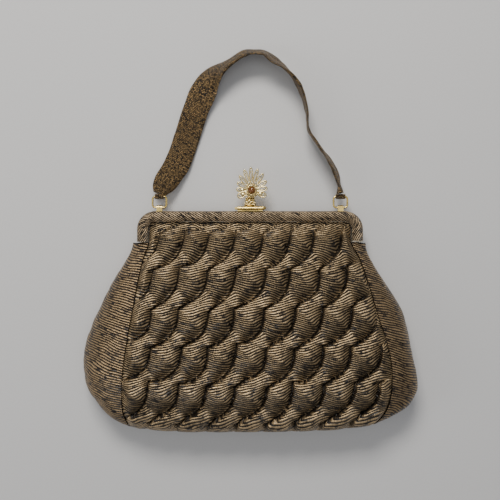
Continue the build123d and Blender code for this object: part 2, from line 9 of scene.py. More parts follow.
import bpy
import numpy as np
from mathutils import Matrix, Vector


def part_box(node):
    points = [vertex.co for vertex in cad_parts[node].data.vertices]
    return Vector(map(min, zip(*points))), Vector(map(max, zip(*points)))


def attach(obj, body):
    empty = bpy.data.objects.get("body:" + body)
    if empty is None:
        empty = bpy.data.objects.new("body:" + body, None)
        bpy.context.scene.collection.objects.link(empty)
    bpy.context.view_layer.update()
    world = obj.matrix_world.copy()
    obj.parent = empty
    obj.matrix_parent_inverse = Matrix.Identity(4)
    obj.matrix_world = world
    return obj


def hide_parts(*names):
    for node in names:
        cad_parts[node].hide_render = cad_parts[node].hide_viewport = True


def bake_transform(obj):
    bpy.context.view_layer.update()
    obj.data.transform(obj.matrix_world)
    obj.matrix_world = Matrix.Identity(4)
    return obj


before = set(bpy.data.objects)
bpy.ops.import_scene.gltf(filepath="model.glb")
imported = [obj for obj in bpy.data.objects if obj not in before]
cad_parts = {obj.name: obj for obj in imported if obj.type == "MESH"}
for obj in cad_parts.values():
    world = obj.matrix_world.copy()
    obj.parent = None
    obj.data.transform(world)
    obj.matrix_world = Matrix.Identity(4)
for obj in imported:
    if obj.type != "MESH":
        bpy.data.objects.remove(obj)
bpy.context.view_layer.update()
MM = 0.001


def box_mm(node):
    """Lowest and highest corners of a CAD node in millimetres."""
    low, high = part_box(node)
    return np.array(low) / MM, np.array(high) / MM


# ---- places from the CAD
COVER_LOW, COVER_HIGH = box_mm("frame_front_cover")
BACK_COVER_LOW, BACK_COVER_HIGH = box_mm("frame_back_cover")
PANEL_LOW = box_mm("front_panel")[0]
TOP_LOW, TOP_HIGH = box_mm("front_panel_top")
LEVER_LOW, LEVER_HIGH = box_mm("clasp_lever")
STEM_LOW, STEM_HIGH = box_mm("ornament_stem")
STONE_LOW, STONE_HIGH = box_mm("amber_stone")
PETALS_LOW = box_mm("ornament_petals")[0]
RING_LEFT_LOW, RING_LEFT_HIGH = box_mm("ring_left")
RING_RIGHT_LOW, RING_RIGHT_HIGH = box_mm("ring_right")

FRAME_HALF = COVER_HIGH[0]
FRAME_TOP = COVER_HIGH[1]
PANEL_CLOTH = 1.0  # thickness of the CAD's cloth where it runs into the frame
EDGE_HOLD = 2.4  # cloth held inside the frame's channel
SLOT_Z = TOP_LOW[2] + PANEL_CLOTH / 2
SLOT_Y = TOP_HIGH[1] - EDGE_HOLD
LEG_INNER = TOP_HIGH[0] - EDGE_HOLD
BOTTOM = PANEL_LOW[1]


# ---- mesh helpers
def stand(name, data):
    """A new object of the scene for a mesh, a light or a camera."""
    holder = bpy.data.objects.new(name, data)
    bpy.context.scene.collection.objects.link(holder)
    return holder


def make_piece(name, points, faces, material, uv=None, smooth=True):
    """A mesh piece from points in millimetres; uv is one pair per point."""
    mesh = bpy.data.meshes.new(name)
    mesh.from_pydata((np.asarray(points, float) * MM).tolist(), [], faces)
    if uv is not None:
        layer = mesh.uv_layers.new(name="cloth")
        corner = np.zeros(len(mesh.loops), np.int32)
        mesh.loops.foreach_get("vertex_index", corner)
        layer.data.foreach_set("uv", np.asarray(uv, np.float32)[corner].ravel())
    mesh.polygons.foreach_set("use_smooth", [smooth] * len(mesh.polygons))
    mesh.materials.append(material)
    mesh.update()
    return stand(name, mesh)


def grid_faces(rows, columns, wrap=False, flip=False):
    """Quads of a grid whose points run along the columns first."""
    faces = []
    last = columns if wrap else columns - 1
    for r in range(rows - 1):
        for c in range(last):
            n = (c + 1) % columns
            quad = (r * columns + c, r * columns + n, (r + 1) * columns + n, (r + 1) * columns + c)
            faces.append(quad[::-1] if flip else quad)
    return faces


def end_caps(rows, columns):
    """The two faces that close a wrapped grid at its ends."""
    return [tuple(range(columns))[::-1], tuple(range((rows - 1) * columns, rows * columns))]


def make_sheet(name, points, material, uv, wrap=False, flip=False):
    """A mesh piece from a grid of points, with one pair of cloth coordinates for each."""
    rows, columns = points.shape[:2]
    faces = grid_faces(rows, columns, wrap, flip) + (end_caps(rows, columns) if wrap else [])
    return make_piece(name, points.reshape(-1, 3), faces, material, uv.reshape(-1, 2))


def full_turn(count):
    """Even angles round one turn."""
    return np.linspace(0, 2 * math.pi, count, endpoint=False)


def run(points, axis=0):
    """Length along a line of points, from its first one."""
    first = points.take([0], axis=axis)
    steps = np.linalg.norm(np.diff(points, axis=axis, prepend=first), axis=-1)
    return np.cumsum(steps, axis=axis)


def smooth_noise(rows, columns, cells_r, cells_c, generator):
    """Smooth random field between -1 and 1 on a grid, cells_r by cells_c waves."""
    coarse = generator.uniform(-1, 1, (cells_r + 3, cells_c + 3))
    r = np.linspace(1, cells_r + 0.999, rows)
    c = np.linspace(1, cells_c + 0.999, columns)

    def weights(t):
        f = t - np.floor(t)
        i = np.floor(t).astype(int)
        w = [(1 - f) ** 3 / 6, (3 * f**3 - 6 * f**2 + 4) / 6,
             (-3 * f**3 + 3 * f**2 + 3 * f + 1) / 6, f**3 / 6]
        return i, w

    ir, wr = weights(r)
    ic, wc = weights(c)
    field = np.zeros((rows, columns))
    for a in range(4):
        for b in range(4):
            field += np.outer(wr[a], wc[b]) * coarse[np.ix_(ir - 1 + a, ic - 1 + b)]
    return field * 1.6


def blur(field, times):
    """Softens a grid by neighbour averaging."""
    for _ in range(times):
        padded = np.pad(field, 1, mode="edge")
        field = (
            4 * padded[1:-1, 1:-1]
            + padded[:-2, 1:-1] + padded[2:, 1:-1] + padded[1:-1, :-2] + padded[1:-1, 2:]
        ) / 8
    return field


def grid_normals(points):
    """Unit normals of a grid of points, columns to the right, rows down."""
    along = np.gradient(points, axis=1)
    down = np.gradient(points, axis=0)
    normal = np.cross(down, along)
    return normal / np.maximum(np.linalg.norm(normal, axis=2, keepdims=True), 1e-9)


def curve_through(stations, at):
    """Smooth values (monotone cubic) through (position, value) stations."""
    x = np.array([s[0] for s in stations], float)
    y = np.array([s[1] for s in stations], float)
    order = np.argsort(x)
    x, y = x[order], y[order]
    slope = np.diff(y) / np.diff(x)
    tangent = np.concatenate([[slope[0]], (slope[:-1] + slope[1:]) / 2, [slope[-1]]])
    flat = np.concatenate([[False], slope[:-1] * slope[1:] <= 0, [False]])
    tangent[flat] = 0
    at = np.clip(np.asarray(at, float), x[0], x[-1])
    i = np.clip(np.searchsorted(x, at) - 1, 0, len(x) - 2)
    h = x[i + 1] - x[i]
    t = (at - x[i]) / h
    return (
        (2 * t**3 - 3 * t**2 + 1) * y[i] + (t**3 - 2 * t**2 + t) * h * tangent[i]
        + (-2 * t**3 + 3 * t**2) * y[i + 1] + (t**3 - t**2) * h * tangent[i + 1]
    )


# ---- materials
class Nodes:
    """Short calls for building a material's node tree."""

    def __init__(self, name):
        self.material = bpy.data.materials.new(name)
        self.material.use_nodes = True
        self.tree = self.material.node_tree
        self.shader = self.tree.nodes["Principled BSDF"]

    def add(self, kind, **values):
        node = self.tree.nodes.new(kind)
        for key, value in values.items():
            setattr(node, key, value)
        return node

    def link(self, a, b):
        self.tree.links.new(a, b)

    def put(self, socket, value):
        """Links a socket, or sets a plain number or colour."""
        if isinstance(value, (int, float, tuple)):
            socket.default_value = value
        else:
            self.link(value, socket)

    def math(self, operation, a, b=0.0, clamp=False):
        node = self.add("ShaderNodeMath", operation=operation, use_clamp=clamp)
        self.put(node.inputs[0], a)
        self.put(node.inputs[1], b)
        return node.outputs[0]

    def times(self, a, b):
        return self.math("MULTIPLY", a, b)

    def plus(self, a, b):
        return self.math("ADD", a, b)

    def place(self):
        return self.add("ShaderNodeTexCoord").outputs["Object"]

    def cloth(self):
        return self.add("ShaderNodeUVMap", uv_map="cloth").outputs["UV"]

    def mix(self, factor, a, b):
        node = self.add("ShaderNodeMix", data_type="RGBA")
        self.put(node.inputs["Factor"], factor)
        self.put(node.inputs[6], a)
        self.put(node.inputs[7], b)
        return node.outputs[2]

    def noise(self, vector, scale, detail=2.0, roughness=0.5):
        node = self.add("ShaderNodeTexNoise")
        node.inputs["Scale"].default_value = scale
        node.inputs["Detail"].default_value = detail
        node.inputs["Roughness"].default_value = roughness
        self.link(vector, node.inputs["Vector"])
        return node.outputs["Fac"]

    def scaled(self, vector, scale, turn=0.0):
        node = self.add("ShaderNodeMapping")
        node.inputs["Scale"].default_value = scale
        node.inputs["Rotation"].default_value = (0, 0, turn)
        self.link(vector, node.inputs["Vector"])
        return node.outputs["Vector"]

    def ramp(self, factor, stops):
        node = self.add("ShaderNodeValToRGB")
        ramp = node.color_ramp
        while len(ramp.elements) < len(stops):
            ramp.elements.new(0.5)
        for element, (place, colour) in zip(ramp.elements, stops):
            element.position = place
            element.color = colour
        self.link(factor, node.inputs["Fac"])
        return node.outputs["Color"]

    def paint(self, factor, a, b):
        """Base colour between a and b."""
        self.link(self.mix(factor, a, b), self.shader.inputs["Base Color"])

    def bump(self, height, distance, strength):
        node = self.add("ShaderNodeBump")
        node.inputs["Distance"].default_value = distance
        node.inputs["Strength"].default_value = strength
        self.link(height, node.inputs["Height"])
        self.link(node.outputs["Normal"], self.shader.inputs["Normal"])

    def set(self, **values):
        """Sets the shader's plain values; an underscore stands for a space."""
        for key, value in values.items():
            self.shader.inputs[key.replace("_", " ")].default_value = value

    def speckle(self, factor, amount, base):
        """Roughness that rises from base with the factor."""
        rough = self.plus(self.times(factor, amount), base)
        self.link(rough, self.shader.inputs["Roughness"])


UV_UNIT = 100.0  # millimetres of cloth in one unit of its UV map


def lame_material(name, pitch, dash, gold, dark, folds=False, threshold=0.32):
    """Black warp crossed by gold weft ribs, broken into dashes by the warp.

    pitch is the distance between ribs and dash the usual length of a bright dash,
    both in millimetres of cloth.
    """
    n = Nodes(name)
    uv = n.cloth()
    wobble = n.noise(n.scaled(uv, (6, 6, 1)), 1.0, 2.0)
    split = n.add("ShaderNodeSeparateXYZ")
    n.link(uv, split.inputs[0])
    across = n.times(split.outputs[0], UV_UNIT)
    along = n.times(split.outputs[1], UV_UNIT)
    along = n.plus(along, n.times(n.math("SUBTRACT", wobble, 0.5), 1.1 * pitch))
    phase = n.math("DIVIDE", along, pitch)
    row = n.math("FLOOR", phase)
    place = n.math("FRACT", phase)
    hump = n.math("SINE", n.times(place, math.pi))

    # each rib has its own dashes: long noise along the rib, a new row for each rib
    seed = n.add("ShaderNodeCombineXYZ")
    n.put(seed.inputs[0], n.math("DIVIDE", across, dash))
    n.put(seed.inputs[1], n.times(row, 3.7))
    dashes = n.noise(seed.outputs[0], 1.0, 1.0)
    fine = n.add("ShaderNodeCombineXYZ")
    n.put(fine.inputs[0], n.math("DIVIDE", across, 0.55))
    n.put(fine.inputs[1], n.times(row, 5.3))
    stitch = n.noise(fine.outputs[0], 1.0, 0.0)
    # warp threads that cross the ribs
    warp = n.math("SINE", n.times(across, 2 * math.pi / 0.62))
    warp = n.times(n.plus(warp, 1.0), 0.5)

    shine = n.times(hump, n.plus(n.times(dashes, 1.25), 0.02))
    shine = n.times(shine, n.plus(n.times(stitch, 0.8), 0.55))
    shine = n.times(shine, n.plus(n.times(warp, 0.25), 0.80))
    cover = n.ramp(shine, [(threshold, (0, 0, 0, 1)), (threshold + 0.22, (1, 1, 1, 1))])
    patches = n.noise(n.scaled(uv, (3.2, 3.2, 1)), 1.0, 3.0)
    tone = n.mix(patches, tuple(0.62 * c for c in gold[:3]) + (1,), gold)
    # painted shade: where folds is set, the "fold" attribute darkens the gold towards the dark warp
    # colour, in and round the creases and on the shaded facets
    if folds:
        fold = n.add("ShaderNodeAttribute", attribute_name="fold").outputs["Fac"]
        fold = n.math("MULTIPLY", fold, 1.5, True)
        tone = n.mix(fold, tone, dark)
    n.paint(cover, dark, tone)
    n.put(n.shader.inputs["Metallic"], n.times(cover, 0.85))
    n.speckle(dashes, 0.22, 0.30)
    n.set(Sheen_Weight=0.04, Sheen_Roughness=0.45, Sheen_Tint=(0.8, 0.62, 0.38, 1),
          Specular_IOR_Level=0.35)
    height = n.plus(n.times(hump, 0.8), n.times(shine, 0.5))
    n.bump(height, 0.00055, 0.9)
    return n.material


def metal_material(name, colour, roughness, scratch=0.06, tarnish=(0.30, 0.22, 0.12, 1)):
    """Plated metal with fine scratches, a little tarnish and soft rough spots."""
    n = Nodes(name)
    place = n.place()
    spots = n.noise(place, 420.0, 4.0, 0.6)
    streak = n.noise(n.scaled(place, (3000, 500, 1500)), 1.0, 2.0)
    worn = n.ramp(spots, [(0.50, (0, 0, 0, 1)), (0.74, (0.7, 0.7, 0.7, 1))])
    n.paint(worn, colour, tarnish)
    n.set(Metallic=1.0)
    rough = n.plus(n.times(spots, 0.16), roughness - 0.04)
    rough = n.plus(rough, n.times(streak, scratch))
    n.link(rough, n.shader.inputs["Roughness"])
    n.bump(streak, 0.00004, 0.5)
    return n.material


def glass_material(name, colour, roughness, depth_colour=None):
    """Cut glass stone with slight inner cloud and surface wear."""
    n = Nodes(name)
    place = n.place()
    cloud = n.noise(place, 900.0, 3.0)
    n.paint(cloud, colour, depth_colour or colour)
    n.set(Transmission_Weight=0.75, IOR=1.58, Coat_Weight=0.5, Coat_Roughness=0.03)
    n.speckle(cloud, 0.05, roughness)
    n.bump(cloud, 0.00003, 0.3)
    return n.material


def satin_material(name, colour, shade):
    """Lining satin: fine diagonal weave with soft broad sheen."""
    n = Nodes(name)
    uv = n.cloth()
    broad = n.noise(n.scaled(uv, (4, 9, 1)), 1.0, 3.0)
    weave = n.add("ShaderNodeTexWave", wave_type="BANDS", bands_direction="DIAGONAL")
    weave.inputs["Scale"].default_value = 90.0
    weave.inputs["Distortion"].default_value = 0.6
    n.link(uv, weave.inputs["Vector"])
    n.paint(broad, colour, shade)
    n.speckle(broad, 0.2, 0.34)
    n.set(Sheen_Weight=0.3, Anisotropic=0.4)
    n.bump(weave.outputs["Fac"], 0.00008, 0.5)
    return n.material


def felt_material(name, colour, shade):
    """Matte fibre of the cords inside the frame."""
    n = Nodes(name)
    place = n.place()
    fibres = n.noise(place, 2600.0, 5.0, 0.7)
    broad = n.noise(place, 160.0, 2.0)
    n.paint(broad, colour, shade)
    n.speckle(fibres, 0.1, 0.85)
    n.set(Sheen_Weight=0.4)
    n.bump(fibres, 0.00015, 0.7)
    return n.material


RIB_PITCH = 1.75
DASH = 5.2
LAME = lame_material(
    "lame_cloth", RIB_PITCH, DASH, (0.50, 0.35, 0.19, 1), (0.010, 0.006, 0.004, 1)
)
# the ruched cloth takes painted shade from its points' "fold" attribute: darker in the creases and on
# the shaded facets
RUCHED = lame_material(
    "ruched_lame", RIB_PITCH, DASH, (0.78, 0.57, 0.32, 1), (0.009, 0.006, 0.004, 1), folds=True
)
COVER_LAME = lame_material(
    "ribbed_cover", 1.35, 6.0, (0.74, 0.55, 0.34, 1), (0.012, 0.008, 0.005, 1)
)
STRAP_LAME = lame_material(
    "strap_lame", 0.95, 1.4, (0.52, 0.34, 0.15, 1), (0.008, 0.005, 0.003, 1), threshold=0.40
)
GOLD = metal_material("gold_plate", (0.84, 0.62, 0.20, 1), 0.18)
PALE_GOLD = metal_material("pale_gold", (0.90, 0.74, 0.38, 1), 0.15)
STEEL = metal_material("plated_steel", (0.62, 0.55, 0.42, 1), 0.34, 0.10)
AMBER = glass_material("amber_glass", (0.85, 0.33, 0.03, 1), 0.04, (0.55, 0.14, 0.01, 1))
CLEAR = glass_material("clear_glass", (0.95, 0.97, 1.0, 1), 0.02)
SATIN = satin_material("lining_satin", (0.060, 0.040, 0.028, 1), (0.105, 0.072, 0.050, 1))
COTTON = felt_material("cotton_cord", (0.70, 0.64, 0.52, 1), (0.60, 0.52, 0.40, 1))

# ---- form of the soft body
# Outline of the body seen from the front: height and half width, right and left.
OUTLINE_RIGHT = [(5, 85.5), (-3, 87.5), (-20, 97), (-37, 107), (-54, 114.5), (-76, 118.5),
                 (-90, 121.2), (-99, 121.4), (-107, 118), (-119, 104), (-127, 90)]
OUTLINE_LEFT = [(5, 86), (-3, 88.5), (-20, 98), (-37, 107.5), (-54, 115.5), (-70, 120.5),
                (-84, 122), (-97, 120), (-107, 115.5), (-119, 105), (-128, 90)]
# Side seams between the ruched panel and the plain gusset: height and half width.
SEAM_RIGHT = [(22, LEG_INNER - 0.5), (6, LEG_INNER - 0.5), (-6, 78.5), (-40, 88), (-86, 99),
              (-110, 97), (-127, 88.5)]
SEAM_LEFT = [(22, LEG_INNER - 0.5), (6, LEG_INNER - 0.5), (-6, 76.5), (-40, 82), (-86, 89),
             (-110, 90), (-128, 86.5)]
# Crown of the front and height of the front seam, from the frame to the bottom.
CROWN = [(24, SLOT_Z), (20, SLOT_Z + 0.6), (9, SLOT_Z + 5.0), (-4, 25.0), (-30, 33.0), (-62, 37.0),
         (-92, 37.0), (-113, 33.5), (-135, 30)]
SEAM_HEIGHT = [(24, SLOT_Z - 0.4), (9, SLOT_Z), (-4, 21.5), (-30, 30.5), (-65, 35.0), (-95, 34.5),
               (-113, 30), (-135, 25)]
BACK_CROWN = [(24, 10.6), (14, 7.2), (5, 2.6), (-3, 0.35), (-135, 0.35)]
MIDDLE_Z = 10.0  # height of the side's widest line and of the bottom edge
BOTTOM_ROUND = 15.0  # how far up from the bottom edge the panels curve under
BOTTOM_EDGE = [(-90, -127.5), (-70, -130.0), (-40, -131.5), (0, -131.5), (40, -131.0), (70, -129.5),
               (90, -126.8)]


def bottom_y(x):
    return curve_through(BOTTOM_EDGE, x)


def closure(foot, y):
    """1 on the body, falling to 0 at the bottom edge along a quarter round.

    foot is the x at which the cloth line reaches the bottom edge.
    """
    start = bottom_y(foot) + BOTTOM_ROUND
    s = np.clip((start - y) / BOTTOM_ROUND, 0, 1)
    return np.sqrt(np.maximum(1 - s * s, 0))


def seam_x(y, side):
    return curve_through(SEAM_RIGHT if side > 0 else SEAM_LEFT, y) * side


def outline_x(y, side):
    return curve_through(OUTLINE_RIGHT if side > 0 else OUTLINE_LEFT, y) * side


def front_z(x, y, foot):
    """Height of the plain front panel."""
    left, right = seam_x(y, -1), seam_x(y, 1)
    middle = (left + right) / 2
    u = np.clip(np.abs((x - middle) / ((right - left) / 2)), 0, 1)
    edge = curve_through(SEAM_HEIGHT, y)
    crown = curve_through(CROWN, y)
    top = edge + (crown - edge) * (1 - u**2.6) ** 0.62
    return MIDDLE_Z + (top - MIDDLE_Z) * closure(foot, y)


def back_z(x, y, foot):
    """Height of the plain back panel: flat where the purse rests on it."""
    rest = curve_through(BACK_CROWN, y)
    left, right = seam_x(y, -1), seam_x(y, 1)
    u = np.clip(np.abs((x - (left + right) / 2) / ((right - left) / 2)), 0, 1)
    edge_lift = 1.6 * u**6 * np.where(y < 0, 1.0, 0.0)
    slot = np.where(y > 3, np.clip((y - 3) / 14, 0, 1) * np.clip((u - 0.72) / 0.28, 0, 1), 0)
    rest = rest + slot * (10.2 - rest)
    return MIDDLE_Z + (rest + edge_lift - MIDDLE_Z) * closure(foot, y)


def panel_rows(count, top_y, x):
    """Row heights of a panel: even cloth length down the face and round the bottom."""
    face_end = bottom_y(x) + BOTTOM_ROUND
    face = top_y - face_end
    turn = 1.35 * BOTTOM_ROUND
    s = np.linspace(0, 1, count)[:, None] * (face + turn)[None, :]
    angle = np.clip((s - face) / turn, 0, 1) * math.pi / 2
    return np.where(s < face, top_y - s, face_end - BOTTOM_ROUND * np.sin(angle)), s


def panel_grid(rows, columns, top_y, height):
    """Points of a plain panel, with x shares from the left seam to the right one."""
    share = np.linspace(0, 1, columns)
    x = np.broadcast_to(-90 + 180 * share, (rows, columns)).copy()
    for _ in range(3):
        y, s = panel_rows(rows, top_y, x[rows // 2])
        left, right = seam_x(y, -1), seam_x(y, 1)
        x = left + (right - left) * share[None, :]
    return x, y, height(x, y, x[rows // 2]), s


# ---- the ruching
ROW_PITCH = 26.6  # between the rows of V tips
FIRST_ROW = 16.0
COLUMN_PITCH = [(20, 17.6), (-20, 19.2), (-60, 19.9), (-130, 20.2)]
COLUMN_OFFSET = -3.4  # x of the tips in the middle column
FRONT_TOP = SLOT_Y + 1.2
RIB_RISE = 0.62  # slope of the ribs on a lit facet
RIB_FALL = 0.46  # slope of the ribs on a shaded facet
LIT_SLOPE = (-0.10, -0.26)  # rise of the sheet along X and Y on a lit facet
SHADED_SLOPE = (0.16, 0.24)  # and on a shaded facet
FRONT_GATHER = 1.7  # height of the front's folds
BACK_GATHER = 1.3  # height of the back's folds
REST_GAP = 0.12  # the bag's cloth stays this far above the floor


def cell_points(column, row, generator):
    """The pinch, the bend and the tip of one gathered cell, in the panel's plane."""
    tip_y = FIRST_ROW - ROW_PITCH * row
    pitch = float(curve_through(COLUMN_PITCH, tip_y))
    tip = np.array([COLUMN_OFFSET + column * pitch, tip_y]) + generator.uniform(-1.3, 1.3, 2)
    bend = tip + np.array([-9.0, 10.0]) + generator.uniform(-0.9, 0.9, 2)
    pinch = bend + np.array([2.5, 13.2]) + generator.uniform(-0.8, 0.8, 2)
    return {"tip": tip, "bend": bend, "pinch": pinch}


def relax(start, fixed, slope_x, slope_y, step, load, cut, sweeps):
    """Sheet whose slopes come as near as they can to the wanted ones.

    start and fixed give the held heights, slope_x and slope_y the wanted slopes, step
    the grid's spacing, and cut the creases, across which the sheet may jump.
    """
    weight_x = np.where(cut[:, 1:] | cut[:, :-1], 0.03, 1.0)
    weight_y = np.where(cut[1:] | cut[:-1], 0.03, 1.0)
    rise_x = (slope_x[:, 1:] + slope_x[:, :-1]) / 2 * step
    rise_y = (slope_y[1:] + slope_y[:-1]) / 2 * -step
    total = np.full(start.shape, 1e-9)
    total[:, 1:] += weight_x
    total[:, :-1] += weight_x
    total[1:] += weight_y
    total[:-1] += weight_y
    source = np.full(start.shape, float(load)) * total
    source[:, 1:] += weight_x * rise_x
    source[:, :-1] -= weight_x * rise_x
    source[1:] += weight_y * rise_y
    source[:-1] -= weight_y * rise_y
    sheet = start.copy()
    for _ in range(sweeps):
        gathered = source.copy()
        gathered[:, 1:] += weight_x * sheet[:, :-1]
        gathered[:, :-1] += weight_x * sheet[:, 1:]
        gathered[1:] += weight_y * sheet[:-1]
        gathered[:-1] += weight_y * sheet[1:]
        sheet = np.where(fixed, start, gathered / total)
    return sheet


def inside_quad(x, y, corners):
    """Which points lie in a convex quad, given its corners in order."""
    inside_all = np.ones(x.shape, bool)
    middle = np.mean(corners, axis=0)
    for i in range(4):
        (ax, ay), (bx, by) = corners[i], corners[(i + 1) % 4]
        turn = (bx - ax) * (y - ay) - (by - ay) * (x - ax)
        turn_middle = (bx - ax) * (middle[1] - ay) - (by - ay) * (middle[0] - ax)
        inside_all &= turn * turn_middle >= 0
    return inside_all


def gather(x, y, depth, generator):
    """Height, lean and depth of painted shade of the gathered cloth over its plain panel.

    Each cell has a shaded facet, between its steep crease and the ridge from its pinch
    to the next bend, and the rest of the cloth is the lit facet of the cell below.
    """
    rows, columns = x.shape
    step = abs(float(np.mean(np.diff(y[:, columns // 2]))))
    fixed, cut, shaded, free = (np.zeros(x.shape, bool) for _ in range(4))
    value = np.zeros(x.shape)
    middle_y = -y[:, columns // 2]

    def trace(start, end, level_start, level_end, shift=(0.0, 0.0), bow=0.0, crease=False):
        """Holds the grid points along a line at the given heights."""
        start, end = np.array(start) + shift, np.array(end) + shift
        t = np.linspace(0, 1, 60)
        line = start + (end - start) * t[:, None]
        across = np.array([-(end - start)[1], (end - start)[0]])
        line = line + across * (bow * np.sin(math.pi * t))[:, None]
        level = level_start + (level_end - level_start) * t
        for (px, py), h in zip(line, level):
            r = int(np.clip(np.searchsorted(middle_y, -py), 1, rows - 2))
            c = int(np.clip(np.searchsorted(x[r], px), 1, columns - 2))
            if abs(y[r, c] - py) < 3 and abs(x[r, c] - px) < 3:
                fixed[r, c] = True
                value[r, c] = h
                cut[r, c] |= crease

    cells = {}
    for row in range(-1, 8):
        for column in range(-6, 8):
            cells[column, row] = cell_points(column, row, generator)
    for (column, row), cell in cells.items():
        following = cells.get((column + 1, row))
        below = cells.get((column, row + 1))
        vary = 1 + generator.uniform(-0.2, 0.2)
        high, low, deep = depth * vary, -0.8 * depth, -1.3 * depth
        if following is not None:
            quad = [cell["pinch"], cell["bend"], cell["tip"], following["bend"]]
            shaded |= inside_quad(x, y, quad)
            trace(cell["tip"], following["bend"], 0.1 * depth, 0.9 * high, (-0.7, 0.9), -0.07)
            trace(cell["tip"], following["bend"], deep, low, (0.3, -0.3), -0.07, True)
        trace(cell["pinch"], cell["bend"], 0.0, 0.9 * high, (-1.2, 0.1), 0.05)
        trace(cell["pinch"], cell["bend"], deep, low, (0, 0), 0.05, True)
        if below is not None:
            trace(cell["tip"], below["pinch"], deep, deep, crease=True)

    shade = blur(shaded.astype(float), 6)
    slope_x = LIT_SLOPE[0] + (SHADED_SLOPE[0] - LIT_SLOPE[0]) * shade
    slope_y = LIT_SLOPE[1] + (SHADED_SLOPE[1] - LIT_SLOPE[1]) * shade
    height = relax(value, fixed, slope_x, slope_y, step, 0.012 * depth, cut, 260)
    height = blur(height, 1)
    lean_x = -RIB_RISE + (RIB_RISE + RIB_FALL) * shade
    level = np.zeros(x.shape)
    lean = relax(level, free, lean_x, level, step, 0.0, cut, 500)
    # painted shade for the cloth's colour: dark along the creases, softly darker round them, and
    # darker on the shaded facets
    fold = blur(cut.astype(float), 2) + 0.36 * shade + 0.12 * blur(cut.astype(float), 14)
    return height, lean, fold


def cloth_uv(x, s, lean):
    """Cloth coordinates in UV units: the ribs lean wherever the cloth is folded."""
    return np.stack([x, -s + lean], axis=2) / UV_UNIT


def store_painted_shade(piece, crease):
    """Stores each point's painted shade, darker in and round the creases and on the shaded facets,
    for the cloth's colour.
    """
    layer = piece.data.attributes.new("fold", "FLOAT", "POINT")
    layer.data.foreach_set("value", np.asarray(crease, np.float32).ravel())


def held(x, y, margin):
    """Share of the gathers left near the frame, the side seams and the bottom seam."""
    share = np.linspace(0, 1, x.shape[1])[None, :]
    hold = np.clip((FRONT_TOP - y) / 15, 0, 1)
    hold = hold * np.clip(share / margin, 0, 1) * np.clip((1 - share) / margin, 0, 1)
    return hold * np.clip((y - (bottom_y(x) + 1)) / 8, 0.15, 1)


def ruched_front():
    """Gathered front panel, round the bottom to the closing line."""
    rows, columns = 250, 280
    x, y, z, s = panel_grid(rows, columns, FRONT_TOP, front_z)
    plain = np.stack([x, y, z], axis=2)
    normal = grid_normals(plain)
    normal *= np.sign(normal[rows // 2, columns // 2, 2])
    generator = np.random.default_rng(11)
    height, lean, crease = gather(x, -s + FRONT_TOP, FRONT_GATHER, generator)
    hold = held(x, y, 0.035)
    puckers = smooth_noise(rows, columns, 60, 44, generator) * 0.28
    creep = smooth_noise(rows, columns, 150, 30, generator) * 0.12
    relief = (height + puckers + creep) * hold
    tuck = np.clip((y - bottom_y(x[rows // 2])) / 8, 0, 1)
    points = plain + normal * (relief - tuck)[:, :, None]
    uv = cloth_uv(x, s, lean + puckers)
    piece = make_sheet("ruched_front", points, RUCHED, uv, flip=True)
    # crease here carries painted shade: the creases and the shaded facets, kept only where the
    # gathers are
    store_painted_shade(piece, crease * hold)
    return piece


def ruched_back():
    """Gathered back panel, flattened where the purse rests on it."""
    rows, columns = 190, 210
    x, y, z, s = panel_grid(rows, columns, FRONT_TOP, back_z)
    plain = np.stack([x, y, z], axis=2)
    generator = np.random.default_rng(23)
    height, lean, crease = gather(x, -s + FRONT_TOP, BACK_GATHER, generator)
    hold = held(x, y, 0.04)
    top = height.max()
    relief = np.maximum(top - height, 0) * hold
    points = plain + np.array([0, 0, 1.0]) * (0.55 * relief)[:, :, None]
    points[:, :, 2] = np.maximum(points[:, :, 2], REST_GAP)
    uv = cloth_uv(x, s, lean)
    piece = make_sheet("ruched_back", points, RUCHED, uv)
    # crease here carries painted shade: the creases and the shaded facets, kept only where the
    # gathers are
    store_painted_shade(piece, crease * hold)
    return piece


def gusset(side):
    """Plain side strip from the front seam round the side to the back seam."""
    rows, columns = 150, 74
    generator = np.random.default_rng(31 + side)
    top_y = 5.5
    foot = seam_x((FRONT_TOP + BOTTOM) / 2, side)
    end_y = float(bottom_y(foot)) + 0.05
    y = top_y + (end_y - top_y) * np.linspace(0, 1, rows)[:, None]
    turn = np.linspace(math.pi / 2, -math.pi / 2, columns)[None, :]
    seam = seam_x(y, side)
    out = outline_x(y, side)
    front = MIDDLE_Z + (curve_through(SEAM_HEIGHT, y) - MIDDLE_Z) * closure(foot, y)
    back = back_z(seam, y, foot)
    bulge = np.cos(turn) ** 0.72
    x = seam + (out - seam) * bulge
    rise = np.where(turn > 0, front - MIDDLE_Z, MIDDLE_Z - back)
    z = MIDDLE_Z + rise * np.sin(turn)
    y = np.broadcast_to(y, x.shape)
    plain = np.stack([x, y, z], axis=2)
    normal = grid_normals(plain)
    normal *= np.sign(side * normal[rows // 2, columns // 2, 0])
    soft = smooth_noise(rows, columns, 7, 4, generator) * 1.3
    drag = smooth_noise(rows, columns, 20, 5, generator) * 0.8
    fine = smooth_noise(rows, columns, 46, 12, generator) * 0.32
    edge = np.clip(np.minimum(np.linspace(0, 1, columns), np.linspace(1, 0, columns)) / 0.10, 0, 1)
    ends = np.clip(np.linspace(1, 0, rows) / 0.12, 0, 1)[:, None]
    lower = np.clip((-y - 50) / 50, 0.25, 1)
    relief = (soft + drag * lower + fine) * edge[None, :] * ends
    points = plain + normal * (relief - 0.7 * edge[None, :])[:, :, None]
    points[:, :, 2] = np.maximum(points[:, :, 2], REST_GAP)
    around = run(plain, axis=1)
    uv = np.stack([80 + around, y + 1.4 * relief + 0.25 * side * around], axis=2) / UV_UNIT
    name = "gusset_cloth_right" if side > 0 else "gusset_cloth_left"
    return make_sheet(name, points, LAME, uv, flip=side < 0)


